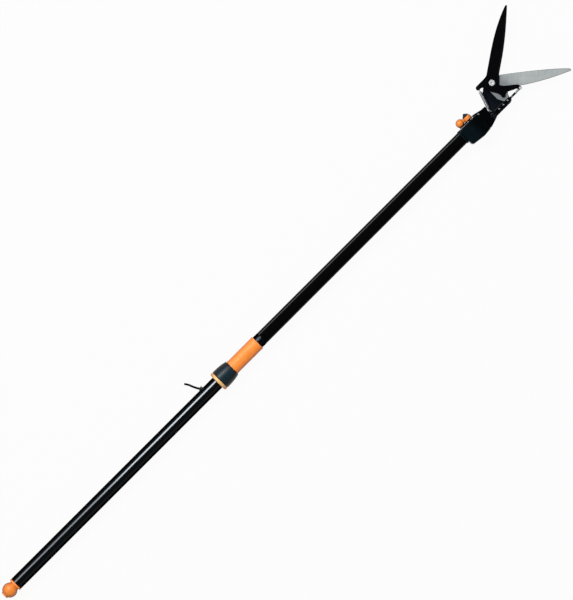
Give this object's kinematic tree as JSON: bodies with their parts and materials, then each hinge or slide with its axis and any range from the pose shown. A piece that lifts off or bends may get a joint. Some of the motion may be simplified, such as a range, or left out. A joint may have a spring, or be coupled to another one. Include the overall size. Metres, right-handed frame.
{
  "type": "telescopic hedge shears",
  "caption": "Long reach hedge shears: telescoping pole with a pull knob, a tilting head, one fixed and one swinging blade closed by a link chain and opened by a spring.",
  "frame": {"origin": "on the flat back of the head housing, on the pole's centre line, under the clamp lever", "axes": "+X along the pole towards the blades, +Y towards the clamp lever's side, +Z from the housing's back towards the side that the blades' bolt head is on"},
  "size_m": [2.0094, 0.2402, 0.0558],
  "materials": {
    "orange_plastic": "satin moulded",
    "black_paint": "gloss",
    "black_coat": "satin",
    "black_plastic": "moulded",
    "bracket_paint": "satin",
    "blade_steel": "satin ground",
    "blade_coating": "low friction coat",
    "bright_steel": "zinc plated",
    "dark_nut": "black oxide",
    "tube_alloy": "drawn",
    "cable_jacket": "sheathed"
  },
  "bodies": {
    "lower_pole": {"lower_tube": "black_paint", "end_collar": "orange_plastic", "guard_ring": "orange_plastic", "grip_flare": "black_plastic", "grip_sleeve": "orange_plastic", "front_bush": "black_plastic", "lever_saddle": "black_coat", "lever_pin": "bright_steel"},
    "lock_lever": {"lock_lever": "black_coat"},
    "lock_plunger": {"lock_plunger": "bright_steel"},
    "pull_handle": {"ball_knob": "orange_plastic", "knob_plug": "orange_plastic", "pull_tube": "tube_alloy"},
    "upper_pole": {"inner_tube": "tube_alloy", "rear_bush": "black_plastic", "coupling_collar": "black_paint", "upper_tube": "black_coat", "housing_front": "black_plastic", "housing_back": "black_plastic", "housing_screw_1": "bright_steel", "housing_screw_2": "bright_steel", "housing_screw_3": "bright_steel", "fork_rivet": "bright_steel", "trunnion_screw_front": "bright_steel", "trunnion_screw_back": "bright_steel", "guide_roller": "black_plastic", "roller_pin": "bright_steel", "clamp_washer": "bright_steel"},
    "clamp": {"clamp_lever": "orange_plastic", "clamp_bolt": "bright_steel", "clamp_cap_nut": "dark_nut"},
    "pull_line": {"pull_rod": "bright_steel", "pull_cable": "cable_jacket", "cable_eye": "bright_steel"},
    "head": {"head_bracket": "bracket_paint", "fixed_blade": "blade_steel", "blade_rivet_1": "bright_steel", "blade_rivet_2": "bright_steel", "pivot_bolt": "bright_steel", "pivot_washer": "bright_steel", "pivot_nut": "bright_steel", "spring_anchor_pin": "bright_steel"},
    "moving_blade": {"moving_blade": "blade_coating", "arm_pin": "bright_steel", "spring_post": "bright_steel"},
    "chain": {"chain_link_1": "bright_steel", "chain_link_2": "bright_steel", "chain_link_3": "bright_steel", "chain_link_4": "bright_steel", "chain_link_5": "bright_steel", "chain_link_6": "bright_steel", "chain_link_7": "bright_steel"},
    "spring_base": {"spring_eye_lower": "bright_steel", "return_spring": "bright_steel"},
    "spring_end": {"spring_eye_upper": "bright_steel"}
  },
  "joints": [
    {"name": "telescope_slide", "type": "slide", "parent": "lower_pole", "child": "upper_pole", "axis": [1, 0, 0], "range_m": [0, 0.6]},
    {"name": "lock_lever_turn", "type": "hinge", "parent": "lower_pole", "child": "lock_lever", "pos_m": [-0.989, 0.0222, 0.028], "axis": [0, 0, 1], "range_deg": [0, 25], "stiffness_Nm_per_rad": 0.4},
    {"name": "lock_plunger_slide", "type": "slide", "parent": "lower_pole", "child": "lock_plunger", "axis": [0, 1, 0], "range_m": [0, 0.0031]},
    {"name": "pull_knob_slide", "type": "slide", "parent": "lower_pole", "child": "pull_handle", "axis": [1, 0, 0], "range_m": [-0.08747, 0]},
    {"name": "clamp_lever_turn", "type": "hinge", "parent": "upper_pole", "child": "clamp", "pos_m": [0, 0.0187, 0.028], "axis": [0, 1, 0], "range_deg": [0, 90]},
    {"name": "pull_line_slide", "type": "slide", "parent": "upper_pole", "child": "pull_line", "axis": [1, 0, 0], "range_m": [-0.08747, 0]},
    {"name": "head_tilt", "type": "hinge", "parent": "upper_pole", "child": "head", "pos_m": [0.052, -0.0148, 0.028], "axis": [0, 0, -1], "range_deg": [0, 90]},
    {"name": "blade_pivot", "type": "hinge", "parent": "head", "child": "moving_blade", "pos_m": [0.1097, 0.0468, 0.028], "axis": [0, 0, 1], "range_deg": [-70.5, 0], "stiffness_Nm_per_rad": 0.9},
    {"name": "chain_slide", "type": "slide", "parent": "head", "child": "chain", "axis": [1, 0, 0], "range_m": [-0.08747, 0]},
    {"name": "spring_swing", "type": "hinge", "parent": "head", "child": "spring_base", "pos_m": [0.0536, -0.003, 0.028], "axis": [0, 0, 1], "range_deg": [-15.75, 0]},
    {"name": "spring_stretch", "type": "slide", "parent": "spring_base", "child": "spring_end", "axis": [-0.3171, -0.9484, 0], "range_m": [-0.03709, 0], "deforming": ["return_spring"]}
  ],
  "couplings": [
    {"joint": "lock_plunger_slide", "follows": "lock_lever_turn", "m_per_rad": 0.00688},
    {"joint": "pull_knob_slide", "follows": "blade_pivot", "m_per_rad": 0.070762},
    {"joint": "pull_line_slide", "follows": "blade_pivot", "m_per_rad": 0.070762},
    {"joint": "chain_slide", "follows": "blade_pivot", "m_per_rad": 0.070762},
    {"joint": "spring_swing", "follows": "blade_pivot", "ratio": 0.22195},
    {"joint": "spring_stretch", "follows": "blade_pivot", "m_per_rad": 0.029819}
  ]
}
